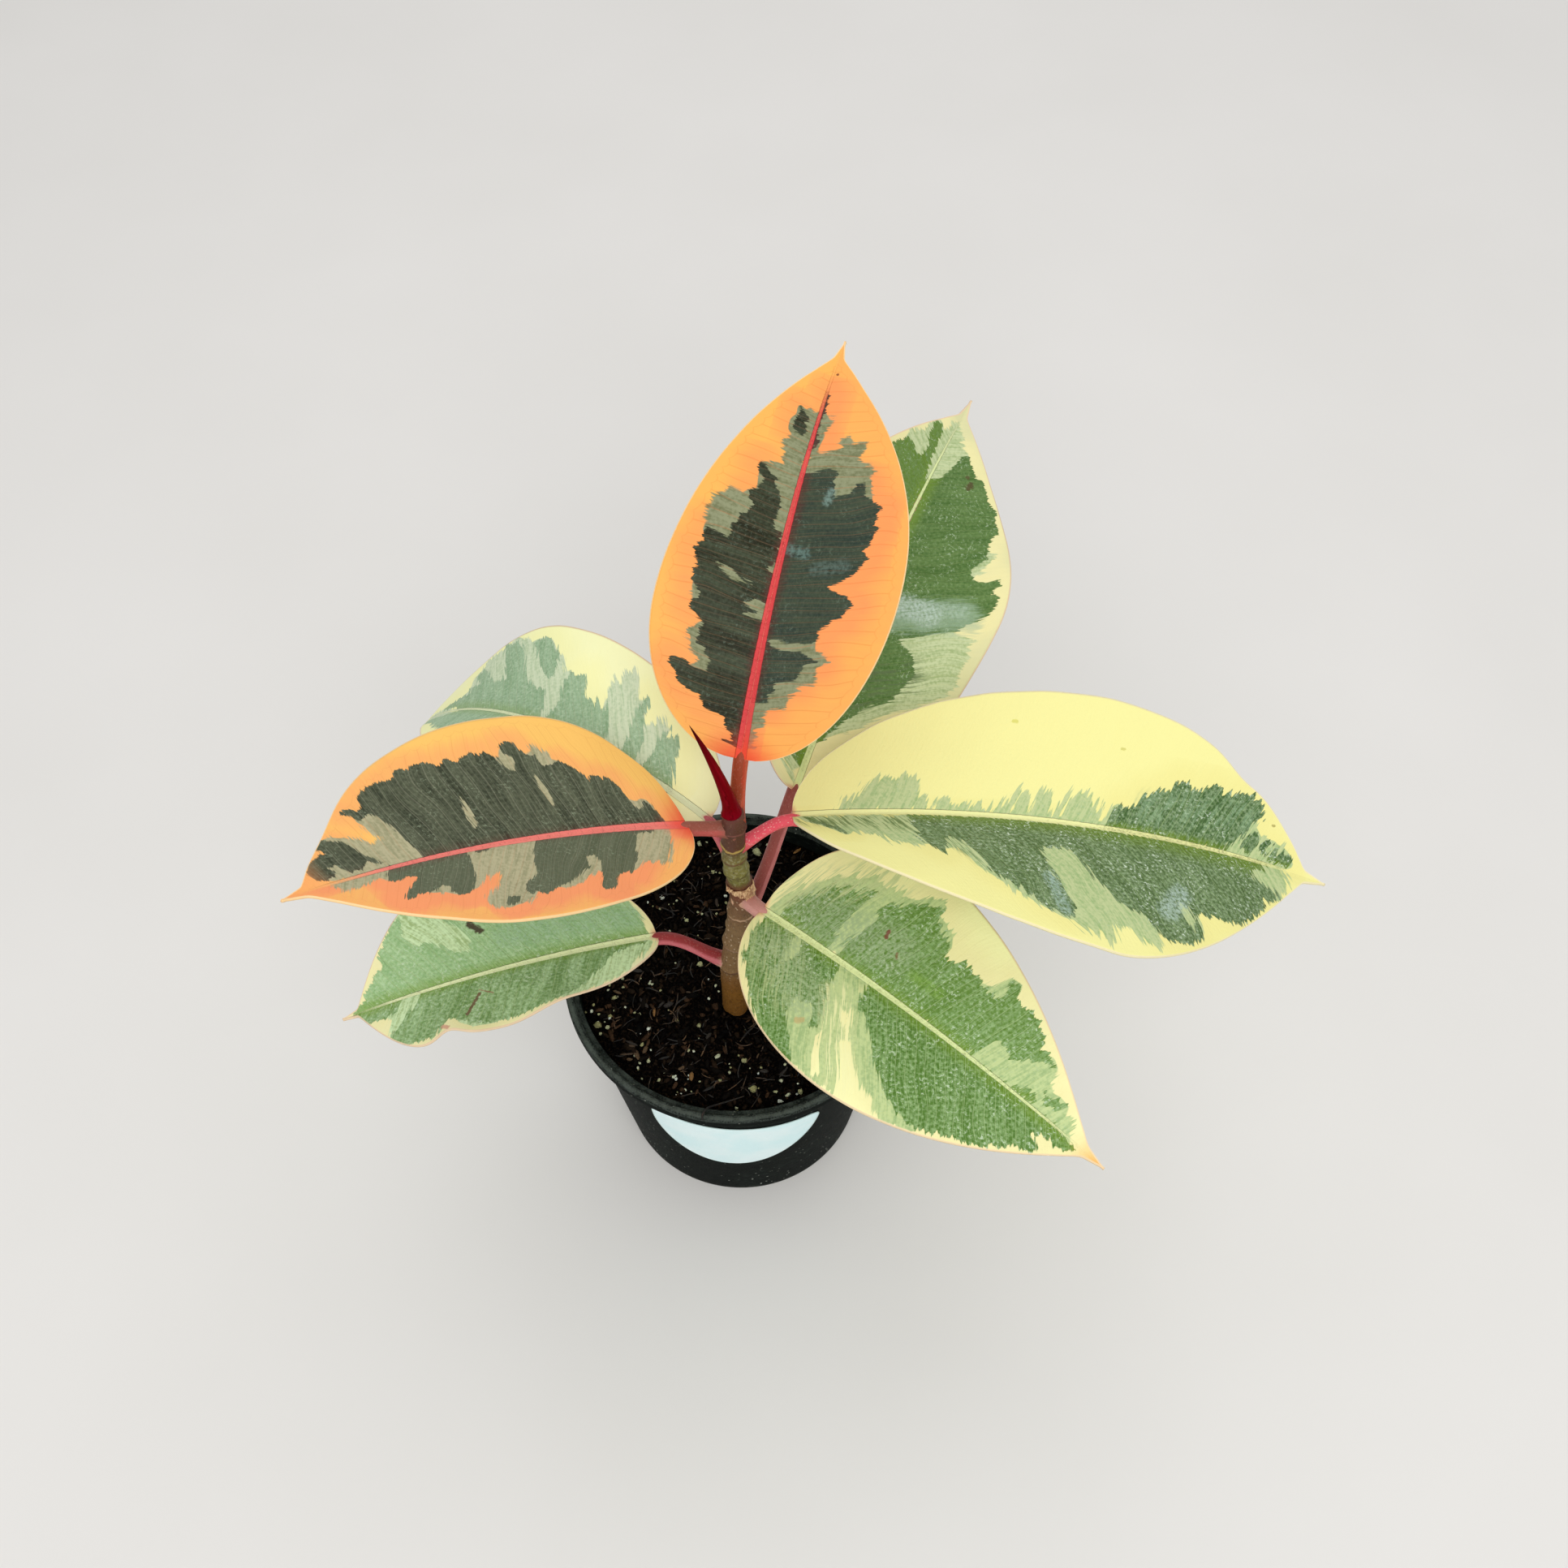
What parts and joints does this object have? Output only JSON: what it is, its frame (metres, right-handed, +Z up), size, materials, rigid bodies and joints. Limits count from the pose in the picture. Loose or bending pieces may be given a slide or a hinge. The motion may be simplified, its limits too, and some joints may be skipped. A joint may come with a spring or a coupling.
{
  "type": "potted tineke rubber plant",
  "caption": "Young variegated rubber plant with broad pointed leaves on one woody stem, in a round nursery pot filled with soil.",
  "frame": {"origin": "centre of the pot's flat bottom face", "axes": "+Z up along the pot's axis, +X to the right and +Y to the back when the label faces the viewer"},
  "size_m": [0.2579, 0.2203, 0.243],
  "materials": {
    "pot": "satin dark green-black moulded plastic",
    "label": "smooth pale sticker, bare",
    "soil": "moist dark potting mix with pale perlite grains",
    "stem": "matte brown bark, greener toward the top",
    "bud_sheath": "smooth crimson, slightly glossy",
    "young_leaf": "waxy leaf, orange margin round a near-black green centre",
    "green_leaf": "waxy leaf, green with a cream margin",
    "cream_leaf": "waxy leaf, cream and green"
  },
  "bodies": {
    "root": {"pot": "pot", "label": "label", "soil": "soil", "stem": "stem", "bud_sheath": "bud_sheath", "leaf_top": "young_leaf", "leaf_left": "young_leaf", "leaf_rear_right": "green_leaf", "leaf_right": "cream_leaf", "leaf_front_right": "green_leaf", "leaf_rear_left": "cream_leaf", "leaf_lower_left": "green_leaf"}
  },
  "joints": []
}
